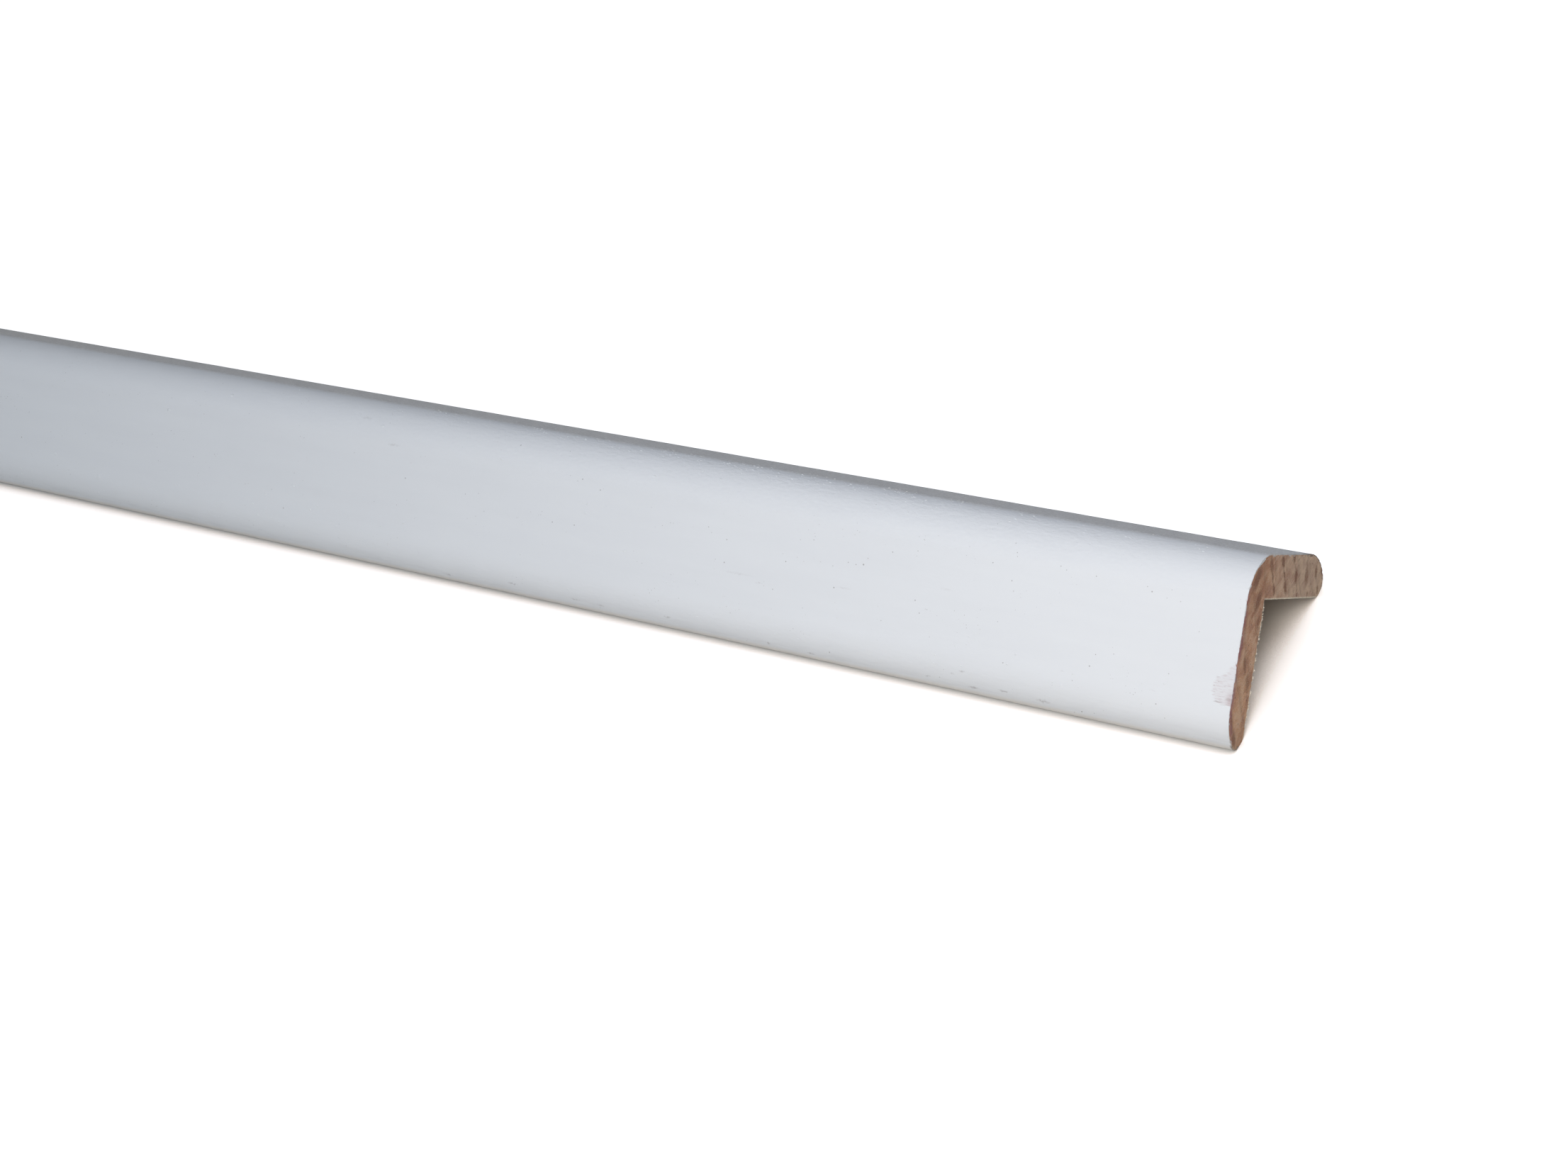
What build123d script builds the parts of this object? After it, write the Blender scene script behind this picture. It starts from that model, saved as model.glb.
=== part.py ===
from build123d import *
from math import atan2, degrees, sqrt
import os

# Rounded corner moulding: one length of pine, planed to an L section with a rounded outer corner and
# rounded leg tips, painted white on its outer faces and sawn square at both ends. Millimetres.
#
# +X runs along the length. The moulding stands on its two leg tips like a tent, with the rounded
# corner up. The origin is on the floor, midway along and midway between the tips.

# Stock
length = 2400.0  # sold length, sawn square at both ends

# Section
leg_width = 28.0  # from the sharp outer corner, before rounding, to the leg's tip; both legs alike
leg_thickness = 6.5  # from the painted outer face to the bare inner face
corner_radius = 7.0  # between the two painted faces
tip_outer_radius = 7.0  # long round that carries the painted face over towards the tip
tip_inner_radius = 2.25  # short round that ends the tip and runs back to the inner face
inner_corner_radius = 0.2  # cutter's trace where the two inner faces meet

# The section is drawn with the sharp outer corner at (0, 0) and one leg along each axis. On the leg
# along X, the short round touches both the plane of the tip and the inner face, and the long round
# touches both the outer face and the short round, so that the face turns the tip with no edge.
short_round = Vector(leg_width - tip_inner_radius, leg_thickness - tip_inner_radius)
rise = tip_outer_radius - short_round.Y
run = sqrt((tip_outer_radius - tip_inner_radius) ** 2 - rise**2)
long_round = Vector(short_round.X - run, tip_outer_radius)
meeting_angle = degrees(atan2(-rise, run))
inner_corner = leg_thickness + inner_corner_radius

# Standing height of the sharp outer corner: the lowest points are on the short rounds, where the
# section's diagonal direction is square to them
standing_height = (short_round.X + short_round.Y) / sqrt(2) + tip_inner_radius

# Both legs slope down at 45 degrees, one to each side
section_plane = Plane(
    origin=(-length / 2, 0, standing_height),
    x_dir=(0, -1, -1),
    z_dir=(1, 0, 0),
)

with BuildPart() as moulding:
    with BuildSketch(section_plane) as section:
        with BuildLine() as outline:
            # The leg along X: outer face, the two rounds of its tip, inner face
            Line((corner_radius, 0), (long_round.X, 0))
            CenterArc(long_round, tip_outer_radius, -90, meeting_angle + 90)
            CenterArc(short_round, tip_inner_radius, meeting_angle, 90 - meeting_angle)
            Line((short_round.X, leg_thickness), (inner_corner, leg_thickness))
            # The leg along Y is its mirror image in the diagonal
            mirror(about=Plane(origin=(0, 0, 0), z_dir=(1, -1, 0)))
            # The rounds that join the two legs
            CenterArc((corner_radius, corner_radius), corner_radius, 180, 90)
            CenterArc((inner_corner, inner_corner), inner_corner_radius, 180, 90)
        make_face()
    extrude(amount=length)

moulding.part.label = "moulding"

os.makedirs("parts", exist_ok=True)
export_step(moulding.part, "parts/moulding.step")
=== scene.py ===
import math

import bpy
import numpy as np
from mathutils import Matrix, Vector


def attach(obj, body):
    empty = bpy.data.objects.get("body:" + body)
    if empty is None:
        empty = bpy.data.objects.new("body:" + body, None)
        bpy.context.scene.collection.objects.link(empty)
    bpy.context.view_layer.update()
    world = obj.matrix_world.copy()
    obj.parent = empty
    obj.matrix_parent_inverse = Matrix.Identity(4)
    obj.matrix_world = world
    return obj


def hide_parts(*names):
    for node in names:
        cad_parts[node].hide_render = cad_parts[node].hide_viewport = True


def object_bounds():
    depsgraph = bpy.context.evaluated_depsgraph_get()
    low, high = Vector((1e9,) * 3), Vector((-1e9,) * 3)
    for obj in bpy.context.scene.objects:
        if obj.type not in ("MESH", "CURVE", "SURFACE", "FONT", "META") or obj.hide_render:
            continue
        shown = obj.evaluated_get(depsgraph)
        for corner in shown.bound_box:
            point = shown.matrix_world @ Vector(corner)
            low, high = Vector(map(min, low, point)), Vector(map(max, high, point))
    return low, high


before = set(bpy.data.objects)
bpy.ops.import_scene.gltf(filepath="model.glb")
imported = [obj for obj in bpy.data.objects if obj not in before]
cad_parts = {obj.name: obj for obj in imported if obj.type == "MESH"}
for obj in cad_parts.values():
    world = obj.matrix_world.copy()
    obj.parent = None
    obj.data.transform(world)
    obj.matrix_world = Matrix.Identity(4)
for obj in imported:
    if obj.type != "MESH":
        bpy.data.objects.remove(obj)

cad_low, cad_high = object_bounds()

MM = 0.001
ROOT2 = math.sqrt(2)

# The section, in metres, as in the solid. A point of it is (down, back): its distance from the sharp
# outer corner along the front leg and along the back leg.
LEG_WIDTH = 28.0 * MM
LEG_THICKNESS = 6.5 * MM
CORNER_RADIUS = 7.0 * MM
TIP_OUTER_RADIUS = 7.0 * MM
TIP_INNER_RADIUS = 2.25 * MM
INNER_CORNER_RADIUS = 0.2 * MM
SHORT_ROUND = np.array([LEG_WIDTH - TIP_INNER_RADIUS, LEG_THICKNESS - TIP_INNER_RADIUS])
ROUND_RISE = TIP_OUTER_RADIUS - SHORT_ROUND[1]
ROUND_RUN = math.sqrt((TIP_OUTER_RADIUS - TIP_INNER_RADIUS) ** 2 - ROUND_RISE**2)
LONG_ROUND = np.array([SHORT_ROUND[0] - ROUND_RUN, TIP_OUTER_RADIUS])
MEETING_ANGLE = math.atan2(-ROUND_RISE, ROUND_RUN)
INNER_CORNER = LEG_THICKNESS + INNER_CORNER_RADIUS
STANDING_HEIGHT = SHORT_ROUND.sum() / ROOT2 + TIP_INNER_RADIUS

# The length runs from the plain end to the cut end that faces the camera
CUT_END = cad_high.x
PLAIN_END = cad_low.x
LENGTH = CUT_END - PLAIN_END
END_PIECE = 5 * MM  # the sawn ends are pieces of their own, for their fine relief
NEAR_COAT = 265 * MM  # and so is the paint on the length that the camera sees

# Paint
PAINT_THICKNESS = 0.14 * MM
PAINT_SUNK = 0.35 * MM  # how far its hidden underside lies inside the wood
PAINT_END_SHARE = 0.45  # the paint stops at this share of the short round of a tip
PAINT_COLUMNS = 421  # places round the section in a row of the coat near a saw cut
COARSE_STEP = 3  # elsewhere a row has every third of them
FINE_PAINT = 4.05 * MM  # rows up to this distance from a saw cut are near it
UNDERSIDE_ROWS = 40
UNDERSIDE_STEP = 12
WORN_MIDDLE = 19 * MM  # the worn patch beside the cut end: its middle down the front face
WORN_REACH = 3 * MM

# Wood
WOOD_COLUMNS = 320  # places round the section, on the outer and on the inner outline alike
CAP_ROWS = 36  # places across the leg on a sawn end

# Torn fibres along a sawn end
TUFTS = 70
FRONT_FIBRES = 260
BACK_FIBRES = 60
BACK_FIBRE_SHARE = 0.35  # their length, of a front one's

# Small grains in the paint
CORNER_GRAINS = 420
LOW_GRAINS = 170
GRAIN_SIDES = 10
GRAIN_STRETCH = 1.6  # grains are longer than wide

# Growth rings are round a pith that lies outside the section, in millimetres
PITH = (-30.0, 69.0)  # (down, back)
RING_SPACING = 3.75
RING_RADIUS = 68.6  # one of the latewood lines

# Latewood streaks in the sawn end, in millimetres as the cut end shows them: (down, back) of the
# middle, half length, half width, lean of its top towards the painted face in degrees, darkness
LATEWOOD = [
    (1.6, 7.1, 2.0, 0.85, 29, 0.75),
    (3.3, 8.2, 1.6, 0.36, 31, 0.95),
    (5.1, 9.3, 1.4, 0.62, 27, 0.90),
    (1.2, 11.3, 1.7, 0.80, 36, 1.00),
    (3.0, 12.5, 1.5, 0.36, 30, 0.90),
    (4.8, 13.5, 1.8, 0.78, 26, 1.00),
    (0.7, 15.4, 1.1, 0.60, 22, 0.90),
    (2.0, 16.2, 1.2, 0.22, 30, 0.45),
    (3.2, 17.0, 1.7, 0.76, 16, 1.00),
    (4.9, 17.9, 1.3, 0.26, 22, 0.50),
    (6.1, 18.4, 0.7, 0.42, 12, 0.90),
    (1.4, 20.7, 1.0, 0.40, 24, 0.50),
    (3.2, 21.1, 2.3, 0.95, 14, 0.72),
    (6.0, 22.4, 0.8, 0.48, 12, 0.70),
    (2.7, 24.7, 1.5, 0.70, 20, 0.85),
    (5.3, 26.3, 1.0, 0.52, 18, 0.75),
    (3.5, 2.6, 2.8, 1.25, -26, 0.95),
    (6.7, 4.2, 2.5, 1.15, -18, 0.90),
    (9.9, 5.4, 1.7, 0.70, 10, 0.65),
    (12.7, 0.6, 1.7, 0.60, 25, 0.50),
    (15.7, 2.9, 2.0, 0.70, 24, 0.78),
    (18.3, 4.8, 2.0, 0.90, 20, 0.72),
    (20.8, 5.7, 1.0, 0.45, 20, 0.40),
    (23.9, 1.3, 2.4, 0.65, 24, 0.70),
    (26.5, 3.1, 1.9, 0.95, 30, 0.85),
]

# Resin dots and pale flecks in the sawn end: (down, back), half length
RESIN_DOTS = [
    (0.8, 17.2, 0.16), (0.9, 14.7, 0.10), (0.8, 16.2, 0.08), (1.5, 21.8, 0.11), (2.2, 13.4, 0.08),
    (1.4, 22.6, 0.09), (3.0, 19.6, 0.07), (5.6, 16.9, 0.09), (10.0, 3.0, 0.13), (9.9, 2.2, 0.08),
    (12.2, 3.4, 0.12), (12.9, 3.2, 0.16), (13.6, 3.1, 0.09), (15.7, 5.0, 0.13), (18.0, 2.3, 0.08),
    (20.3, 1.2, 0.14), (20.9, 5.4, 0.15), (24.2, 3.7, 0.16), (22.4, 4.4, 0.08), (25.2, 2.4, 0.08),
]
PALE_FLECKS = [
    (3.7, 15.6, 0.13), (4.3, 15.9, 0.13), (3.5, 19.3, 0.10), (4.4, 19.0, 0.13), (5.7, 18.9, 0.09),
    (2.2, 23.3, 0.09), (6.0, 20.6, 0.08), (4.9, 12.2, 0.09), (17.5, 3.7, 0.14), (16.9, 4.6, 0.10),
    (7.1, 3.3, 0.10), (24.0, 3.3, 0.16), (13.9, 5.6, 0.10), (21.6, 2.6, 0.10), (9.0, 4.7, 0.10),
]

# Dark specks on the front face: (along from the cut end, down), size
SPECKS = [
    (14.3, 7.7, 0.15), (22.2, 19.9, 0.15), (21.5, 18.1, 0.11), (18.7, 17.5, 0.11), (23.2, 7.0, 0.11),
    (29.0, 6.5, 0.11), (28.0, 6.9, 0.10), (15.1, 7.1, 0.10), (11.9, 8.2, 0.09), (9.9, 18.7, 0.11),
    (11.2, 23.3, 0.13), (23.3, 26.9, 0.15), (61.7, 11.7, 0.19), (63.0, 11.9, 0.12), (64.4, 11.8, 0.12),
    (36.0, 22.0, 0.12), (40.0, 7.8, 0.12), (36.5, 9.9, 0.12), (52.0, 15.5, 0.14), (66.3, 16.0, 0.17),
    (86.7, 15.5, 0.15), (86.8, 11.9, 0.13), (75.5, 13.5, 0.14), (57.0, 9.0, 0.12), (71.0, 9.4, 0.11),
    (116.0, 6.7, 0.14), (112.2, 7.9, 0.14), (116.5, 14.3, 0.14), (121.0, 14.5, 0.14), (153.0, 12.0, 0.15),
]

# Grey smudges: (along, down), half length, half height, darkness
SMUDGES = [
    (29.5, 26.6, 1.6, 0.40, 0.50), (36.0, 26.3, 1.3, 0.30, 0.50), (41.3, 26.8, 1.4, 0.30, 0.55),
    (42.8, 24.6, 0.8, 0.25, 0.35), (44.5, 25.2, 0.5, 0.20, 0.35), (49.0, 26.5, 0.7, 0.25, 0.45),
    (70.0, 27.0, 1.2, 0.25, 0.50), (77.8, 26.8, 0.6, 0.30, 0.45), (97.0, 26.0, 1.0, 0.30, 0.40),
    (110.5, 26.5, 1.2, 0.30, 0.40), (115.5, 26.4, 1.3, 0.25, 0.40), (128.5, 26.0, 1.5, 0.30, 0.40),
    (143.0, 26.9, 1.6, 0.30, 0.40), (26.3, 21.4, 0.5, 0.12, 0.35), (64.5, 15.8, 1.8, 0.20, 0.16),
    (47.0, 13.0, 1.4, 0.25, 0.12), (84.0, 16.8, 4.0, 0.25, 0.14), (156.5, 6.8, 1.8, 0.30, 0.25),
    (164.0, 3.2, 1.5, 0.30, 0.25), (80.0, 17.6, 1.0, 0.12, 0.30), (12.0, 21.5, 0.8, 0.12, 0.15),
]

# Grains under the paint that stand out: (along, down), radius
GRAINS = [
    (133.0, 5.8, 0.30), (114.5, 10.5, 0.22), (114.6, 12.0, 0.20), (106.0, 16.8, 0.22),
    (102.5, 4.2, 0.24), (148.5, 9.5, 0.22), (160.0, 4.0, 0.30), (210.0, 8.0, 0.32),
    (226.0, 22.5, 0.30), (238.0, 20.0, 0.30), (178.0, 17.0, 0.28), (196.0, 3.4, 0.28),
]


def ripple(points, size, seed, waves=14):
    """Smooth noise of unit spread, with bumps about size apart, at points of any dimension."""
    rng = np.random.default_rng(seed)
    points = np.asarray(points, float)
    total = np.zeros(points.shape[:-1])
    for _ in range(waves):
        direction = rng.normal(size=points.shape[-1])
        direction /= np.linalg.norm(direction)
        pitch = size * rng.uniform(0.7, 1.5)
        total += np.cos(points @ direction * 2 * np.pi / pitch + rng.uniform(0, 2 * np.pi))
    return total / math.sqrt(waves / 2)


def smooth_step(value, low, high):
    t = np.clip((value - low) / (high - low), 0, 1)
    return t * t * (3 - 2 * t)


# Section outlines


def arc(centre, radius, start, end, outward=1):
    """Dense points and outward normals on an arc, angles in radians."""
    angle = np.linspace(start, end, 200)
    spoke = np.stack([np.cos(angle), np.sin(angle)], 1)
    return np.asarray(centre) + radius * spoke, outward * spoke


def straight(start, end, normal):
    t = np.linspace(0, 1, 400)[:, None]
    points = (1 - t) * np.asarray(start) + t * np.asarray(end)
    return points, np.tile(np.asarray(normal, float), (len(t), 1))


def whole_outline(pieces):
    """Joins the front leg's pieces and mirrors them, so that the outline runs from tip to tip."""
    points = np.concatenate([p for p, _ in pieces])
    normals = np.concatenate([n for _, n in pieces])
    points = np.concatenate([points, points[::-1, ::-1]])
    normals = np.concatenate([normals, normals[::-1, ::-1]])
    step = np.linalg.norm(np.diff(points, axis=0), axis=1)
    keep = np.r_[True, step > 1e-9]
    return points[keep], normals[keep]


QUARTER = math.pi / 2
OUTER = whole_outline(
    [
        arc(SHORT_ROUND, TIP_INNER_RADIUS, QUARTER, MEETING_ANGLE),
        arc(LONG_ROUND, TIP_OUTER_RADIUS, MEETING_ANGLE, -QUARTER),
        straight((LONG_ROUND[0], 0), (CORNER_RADIUS, 0), (0, -1)),
        arc((CORNER_RADIUS, CORNER_RADIUS), CORNER_RADIUS, -QUARTER, -1.5 * QUARTER),
    ]
)
INNER = whole_outline(
    [
        straight((SHORT_ROUND[0], LEG_THICKNESS), (INNER_CORNER, LEG_THICKNESS), (0, 1)),
        arc((INNER_CORNER, INNER_CORNER), INNER_CORNER_RADIUS, -QUARTER, -1.5 * QUARTER, -1),
    ]
)


def arc_length(outline):
    step = np.linalg.norm(np.diff(outline[0], axis=0), axis=1)
    return np.r_[0, np.cumsum(step)]


def at(outline, distance):
    """Points and unit normals of an outline at distances along it."""
    total = arc_length(outline)
    points = np.stack([np.interp(distance, total, outline[0][:, i]) for i in (0, 1)], -1)
    normals = np.stack([np.interp(distance, total, outline[1][:, i]) for i in (0, 1)], -1)
    return points, normals / np.linalg.norm(normals, axis=-1, keepdims=True)


OUTER_LENGTH = arc_length(OUTER)[-1]
INNER_LENGTH = arc_length(INNER)[-1]
TIP_ARC = TIP_INNER_RADIUS * (QUARTER - MEETING_ANGLE)


def place(x, section):
    """Section points (down, back) at x, in the row frame."""
    down, back = section[..., 0], section[..., 1]
    x = np.broadcast_to(x, down.shape)
    return np.stack([x, (back - down) / ROOT2, STANDING_HEIGHT - (back + down) / ROOT2], -1)


# Meshes


def make_piece(name, vertices, faces, materials, face_materials=None, sharp_degrees=35):
    used = np.unique(np.concatenate([np.asarray(face) for face in faces]))
    renumber = np.full(len(vertices), -1)
    renumber[used] = np.arange(len(used))
    faces = [renumber[face].tolist() for face in faces]
    mesh = bpy.data.meshes.new(name)
    mesh.from_pydata(np.asarray(vertices).reshape(-1, 3)[used].tolist(), [], faces)
    for material in materials:
        mesh.materials.append(material)
    if face_materials is not None:
        mesh.polygons.foreach_set("material_index", np.asarray(face_materials, np.int32))
    mesh.polygons.foreach_set("use_smooth", np.ones(len(mesh.polygons), bool))
    mesh.set_sharp_from_angle(angle=math.radians(sharp_degrees))
    mesh.update()
    piece = bpy.data.objects.new(name, mesh)
    bpy.context.scene.collection.objects.link(piece)
    return piece


def grid_faces(ids, flip=False):
    """Quads over a two-dimensional array of vertex numbers."""
    quads = np.stack([ids[:-1, :-1], ids[1:, :-1], ids[1:, 1:], ids[:-1, 1:]], -1).reshape(-1, 4)
    return (quads[:, ::-1] if flip else quads).tolist()


def bridge(first, first_at, second, second_at, flip=False):
    """Triangles between two rows of vertices that run side by side but have other counts."""
    faces, i, j = [], 0, 0
    while i < len(first) - 1 or j < len(second) - 1:
        step_first = j == len(second) - 1 or (
            i < len(first) - 1 and first_at[i + 1] <= second_at[j + 1]
        )
        if step_first:
            face = (first[i], second[j], first[i + 1])
            i += 1
        else:
            face = (first[i], second[j], second[j + 1])
            j += 1
        faces.append([int(k) for k in (face[::-1] if flip else face)])
    return faces


def stations(*stretches):
    """Distances from the cut end: each stretch is (how far it reaches, spacing)."""
    found, start = [], 0.0
    for reach, spacing in stretches:
        count = max(1, round((reach - start) / spacing))
        found.append(np.linspace(start, reach, count, endpoint=False))
        start = reach
    return np.r_[np.concatenate(found), start]


PAINT_ROWS = stations(
    (1.2 * MM, 0.1 * MM),
    (4 * MM, 0.28 * MM),
    (20 * MM, 0.8 * MM),
    (NEAR_COAT, 1.5 * MM),
    (LENGTH - 20 * MM, 12 * MM),
    (LENGTH - 4 * MM, 0.8 * MM),
    (LENGTH - 1.2 * MM, 0.28 * MM),
    (LENGTH, 0.1 * MM),
)


def paint_edge(around, seed):
    """How far the broken edge of the paint lies back from the saw cut."""
    around = around[:, None]
    chips = np.maximum(0, ripple(around, 1.1 * MM, seed) - 0.7) * 0.13
    bites = np.maximum(0, ripple(around, 0.45 * MM, seed + 1) - 0.6) * 0.05
    return (0.012 + chips + bites) * MM


def paint_lift(along, around, points):
    """How far the film's face stands off its even thickness."""
    places = np.stack([np.broadcast_to(along[:, None], around.shape), around], -1)
    lift = 0.005 * ripple(places * (0.35, 1), 2.4 * MM, 21)
    lift += 0.008 * ripple(places * (0.1, 1), 9 * MM, 22)
    burrs = np.maximum(0, ripple(around[..., None], 0.7 * MM, 23) - 0.3) * 0.04
    burrs *= points.max(axis=-1) < 19 * MM  # the far parts of both legs have none
    lift += burrs * np.exp(-np.minimum(along, LENGTH - along) / (0.18 * MM))[:, None]
    # The worn patch lies lower
    off_middle = np.abs(points[..., 0] - WORN_MIDDLE) / WORN_REACH
    reach = np.sqrt(np.clip(1 - off_middle, 0, 1)) * WORN_REACH
    on_front_face = points[..., 1] < 1 * MM
    worn = smooth_step(reach - along[:, None], 0, 1.5 * MM) * on_front_face
    return (lift - 0.03 * worn) * MM


def paint_coat(name, start, end, material):
    """A stretch of the coat of paint: a thin closed shell over the outer faces, from tip to tip."""
    rows = PAINT_ROWS[(PAINT_ROWS > start - 1e-6) & (PAINT_ROWS < end + 1e-6)]
    # The paint ends past the leg's lowest point, a little unevenly
    fine = np.linspace(0, 1, PAINT_COLUMNS)
    limit = PAINT_END_SHARE * TIP_ARC
    first = limit + 0.20 * MM * ripple(rows[:, None], 9 * MM, 11)
    last = OUTER_LENGTH - limit + 0.20 * MM * ripple(rows[:, None], 9 * MM, 12)
    around = first[:, None] + (last - first)[:, None] * fine
    points, normals = at(OUTER, around)
    feather = smooth_step(fine, 0, 0.02) * smooth_step(1 - fine, 0, 0.02)
    lift = paint_lift(rows, around, points) - 0.09 * MM * (1 - feather)
    near = paint_edge(around[0], 31) * np.exp(-rows / (1.0 * MM))[:, None]
    far = paint_edge(around[-1], 41) * np.exp(-(LENGTH - rows) / (1.0 * MM))[:, None]
    x = CUT_END - rows[:, None] - near + far
    top = place(x, points + normals * lift[..., None])
    below_rows = np.unique(np.linspace(0, len(rows) - 1, UNDERSIDE_ROWS).astype(int))
    below_columns = np.arange(0, PAINT_COLUMNS, UNDERSIDE_STEP)
    cross = np.ix_(below_rows, below_columns)
    below = place(x[cross], points[cross] - normals[cross] * PAINT_SUNK)

    # A row holds all its columns near a saw cut, and fewer elsewhere
    numbers = np.arange(top[..., 0].size).reshape(top.shape[:2])
    kept = []
    for ids, from_cut in zip(numbers, np.minimum(rows, LENGTH - rows)):
        pace = 1 if from_cut < FINE_PAINT else COARSE_STEP
        kept.append((ids[::pace], fine[::pace]))
    faces = []
    for (ids, shares), (next_ids, next_shares) in zip(kept[:-1], kept[1:]):
        if len(ids) == len(next_ids):
            faces += grid_faces(np.stack([ids, next_ids]), flip=True)
        else:
            faces += bridge(ids, shares, next_ids, next_shares, flip=True)
    low = top[..., 0].size + np.arange(below[..., 0].size).reshape(below.shape[:2])
    low_shares = fine[below_columns]
    faces += grid_faces(low)
    faces += bridge(kept[0][0], kept[0][1], low[0], low_shares)
    faces += bridge(kept[-1][0], kept[-1][1], low[-1], low_shares, flip=True)
    faces += bridge(numbers[:, 0], rows, low[:, 0], rows[below_rows], flip=True)
    faces += bridge(numbers[:, -1], rows, low[:, -1], rows[below_rows])
    vertices = np.concatenate([top.reshape(-1, 3), below.reshape(-1, 3)])
    return make_piece(name, vertices, faces, [material])


def saw_relief(sheet, thickness, outward, seed):
    """Relief of a sawn end: saw marks, rough early wood, and torn edges."""
    down, back = sheet[..., 0], sheet[..., 1]
    relief = 0.010 * ripple((0.6 * back + 0.8 * down)[..., None], 0.9 * MM, seed)
    relief += 0.016 * ripple(sheet, 2.6 * MM, seed + 1)
    relief += 0.008 * ripple(sheet, 0.5 * MM, seed + 2)
    across = np.linspace(0, 1, sheet.shape[1])[None]
    to_outer, to_inner = across * thickness[:, None], (1 - across) * thickness[:, None]
    torn = np.maximum(0, ripple(sheet, 0.6 * MM, seed + 3))
    relief -= 0.10 * torn * np.exp(-to_inner / (0.12 * MM))
    relief -= 0.03 * torn * np.exp(-to_outer / (0.15 * MM))
    return outward * relief * MM


def wood_length(name, start, end, materials, sawn=None):
    """A closed stretch of the wood. sawn is 1 or -1 where its near or far end is a sawn one."""
    count = WOOD_COLUMNS
    share = np.linspace(0, 1, count)
    outer, outer_normals = at(OUTER, share * OUTER_LENGTH)
    inner, inner_normals = at(INNER, share * INNER_LENGTH)
    # Under the paint the wood lies lower by the film's thickness
    painted = smooth_step(share * OUTER_LENGTH, 0.3 * TIP_ARC, 0.5 * TIP_ARC)
    painted = painted * painted[::-1]
    outer = outer - outer_normals * (PAINT_THICKNESS * painted)[:, None]
    thickness = np.linalg.norm(outer - inner, axis=1)

    def cap(distance, outward):
        across = CAP_ROWS if sawn == outward else 2
        t = np.linspace(0, 1, across)[None, :, None]
        sheet = (1 - t) * outer[:, None] + t * inner[:, None]
        relief = saw_relief(sheet, thickness, outward, 51) if across > 2 else 0
        ids = np.arange(count * across).reshape(count, across)
        ids[0, :] = ids[0, 0]
        ids[-1, :] = ids[-1, 0]
        return place(CUT_END - distance + relief, sheet).reshape(-1, 3), ids

    near, near_ids = cap(start, 1)
    far, far_ids = cap(end, -1)
    ring = np.concatenate([outer, inner[-2:0:-1]])
    ring_normals = np.concatenate([outer_normals, inner_normals[-2:0:-1]])
    planed = np.arange(len(ring)) >= count
    pace = 0.5 * MM if end - start <= END_PIECE else 60 * MM
    between = np.linspace(start, end, max(3, round((end - start) / pace)))[1:-1]
    sides = []
    for distance in between:
        places = np.c_[np.full(len(ring), distance * 0.05), ring]
        planing = np.where(planed, 0.006 * MM * ripple(places, 2.5 * MM, 71), 0)
        sides.append(place(CUT_END - distance, ring + ring_normals * planing[:, None]))
    far_ids = far_ids + len(near)
    side_ids = len(near) + len(far) + np.arange(len(between) * len(ring)).reshape(len(between), -1)

    def rim(ids):
        return np.concatenate([ids[:, 0], ids[-2:0:-1, -1]])

    def cap_faces(ids, flip):
        found = grid_faces(ids[1:-1], flip)
        for tip, row, turned in ((ids[0, 0], ids[1], flip), (ids[-1, 0], ids[-2], not flip)):
            for a, b in zip(row[:-1], row[1:]):
                found.append([int(k) for k in ((tip, b, a) if turned else (tip, a, b))])
        return found

    rings = np.concatenate([[rim(near_ids)], side_ids, [rim(far_ids)]])
    rings = np.concatenate([rings, rings[:, :1]], axis=1)
    side_faces = grid_faces(rings, flip=True)
    end_faces = cap_faces(near_ids, True) + cap_faces(far_ids, False)
    vertices = np.concatenate([near, far, np.array(sides).reshape(-1, 3)])
    kinds = [0] * len(side_faces) + [1] * len(end_faces)
    return make_piece(name, vertices, side_faces + end_faces, materials, kinds)


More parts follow.
